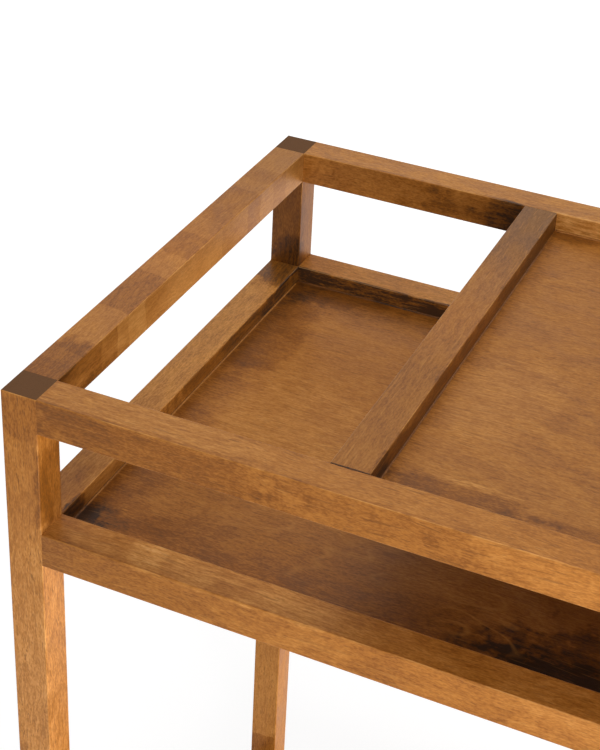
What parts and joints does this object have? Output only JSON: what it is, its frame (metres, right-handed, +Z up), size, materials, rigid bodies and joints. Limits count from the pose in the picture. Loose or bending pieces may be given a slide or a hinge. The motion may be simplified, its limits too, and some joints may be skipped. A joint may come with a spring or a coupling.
{
  "type": "serving trolley",
  "caption": "Wooden serving trolley with a recessed tray beside an open bottle well, a shelf close below, a base shelf, and swivel castors with brake pedals at the front.",
  "frame": {"origin": "on the floor, under the middle of the trolley", "axes": "+X along the trolley, away from the bottle well, +Y from the front to the back, +Z up"},
  "size_m": [0.85, 0.498, 0.925],
  "materials": {
    "frame_wood": "satin lacquer",
    "panel_wood": "satin lacquer",
    "plated_steel": "satin zinc plating",
    "fastener_steel": "bright",
    "brass": "plain",
    "black_nylon": "fine texture",
    "grey_rubber": "matt"
  },
  "bodies": {
    "frame": {"post_front_left": "frame_wood", "post_front_right": "frame_wood", "post_back_right": "frame_wood", "post_back_left": "frame_wood", "top_rail_front": "frame_wood", "top_rail_right": "frame_wood", "top_rail_back": "frame_wood", "top_rail_left": "frame_wood", "shelf_rail_front": "frame_wood", "shelf_rail_right": "frame_wood", "shelf_rail_back": "frame_wood", "shelf_rail_left": "frame_wood", "base_rail_front": "frame_wood", "base_rail_right": "frame_wood", "base_rail_back": "frame_wood", "base_rail_left": "frame_wood", "crossbar": "frame_wood", "tray_panel": "panel_wood", "shelf_panel": "panel_wood", "base_panel": "panel_wood", "stem_inserts": "brass", "castor_stem_front_left": "plated_steel", "castor_stem_front_right": "plated_steel", "castor_stem_back_right": "plated_steel", "castor_stem_back_left": "plated_steel"},
    "castor_front_left": {"castor_fork_front_left": "plated_steel", "swivel_bearing_front_left": "brass", "axle_bolt_front_left": "fastener_steel", "axle_nut_front_left": "fastener_steel", "axle_sleeve_front_left": "fastener_steel", "brake_pin_front_left": "fastener_steel"},
    "wheel_front_left": {"wheel_hub_front_left": "black_nylon", "wheel_tyre_front_left": "grey_rubber"},
    "brake_front_left": {"brake_pedal_front_left": "black_nylon"},
    "castor_front_right": {"castor_fork_front_right": "plated_steel", "swivel_bearing_front_right": "brass", "axle_bolt_front_right": "fastener_steel", "axle_nut_front_right": "fastener_steel", "axle_sleeve_front_right": "fastener_steel", "brake_pin_front_right": "fastener_steel"},
    "wheel_front_right": {"wheel_hub_front_right": "black_nylon", "wheel_tyre_front_right": "grey_rubber"},
    "brake_front_right": {"brake_pedal_front_right": "black_nylon"},
    "castor_back_right": {"castor_fork_back_right": "plated_steel", "swivel_bearing_back_right": "brass", "axle_bolt_back_right": "fastener_steel", "axle_nut_back_right": "fastener_steel", "axle_sleeve_back_right": "fastener_steel"},
    "wheel_back_right": {"wheel_hub_back_right": "black_nylon", "wheel_tyre_back_right": "grey_rubber"},
    "castor_back_left": {"castor_fork_back_left": "plated_steel", "swivel_bearing_back_left": "brass", "axle_bolt_back_left": "fastener_steel", "axle_nut_back_left": "fastener_steel", "axle_sleeve_back_left": "fastener_steel"},
    "wheel_back_left": {"wheel_hub_back_left": "black_nylon", "wheel_tyre_back_left": "grey_rubber"}
  },
  "joints": [
    {"name": "swivel_front_left", "type": "hinge", "parent": "frame", "child": "castor_front_left", "pos_m": [-0.41, -0.234, 0.0557], "axis": [0, 0, 1], "continuous": true},
    {"name": "roll_front_left", "type": "hinge", "parent": "castor_front_left", "child": "wheel_front_left", "pos_m": [-0.392, -0.234, 0.025], "axis": [0, 1, 0], "continuous": true},
    {"name": "brake_front_left", "type": "hinge", "parent": "castor_front_left", "child": "brake_front_left", "pos_m": [-0.394, -0.234, 0.0548], "axis": [0, 1, 0], "range_deg": [0, 8]},
    {"name": "swivel_front_right", "type": "hinge", "parent": "frame", "child": "castor_front_right", "pos_m": [0.41, -0.234, 0.0557], "axis": [0, 0, 1], "continuous": true},
    {"name": "roll_front_right", "type": "hinge", "parent": "castor_front_right", "child": "wheel_front_right", "pos_m": [0.392, -0.234, 0.025], "axis": [0, 1, 0], "continuous": true},
    {"name": "brake_front_right", "type": "hinge", "parent": "castor_front_right", "child": "brake_front_right", "pos_m": [0.394, -0.234, 0.0548], "axis": [0, -1, 0], "range_deg": [0, 8]},
    {"name": "swivel_back_right", "type": "hinge", "parent": "frame", "child": "castor_back_right", "pos_m": [0.41, 0.234, 0.0557], "axis": [0, 0, 1], "continuous": true},
    {"name": "roll_back_right", "type": "hinge", "parent": "castor_back_right", "child": "wheel_back_right", "pos_m": [0.392, 0.234, 0.025], "axis": [0, 1, 0], "continuous": true},
    {"name": "swivel_back_left", "type": "hinge", "parent": "frame", "child": "castor_back_left", "pos_m": [-0.41, 0.234, 0.0557], "axis": [0, 0, 1], "continuous": true},
    {"name": "roll_back_left", "type": "hinge", "parent": "castor_back_left", "child": "wheel_back_left", "pos_m": [-0.392, 0.234, 0.025], "axis": [0, 1, 0], "continuous": true}
  ]
}
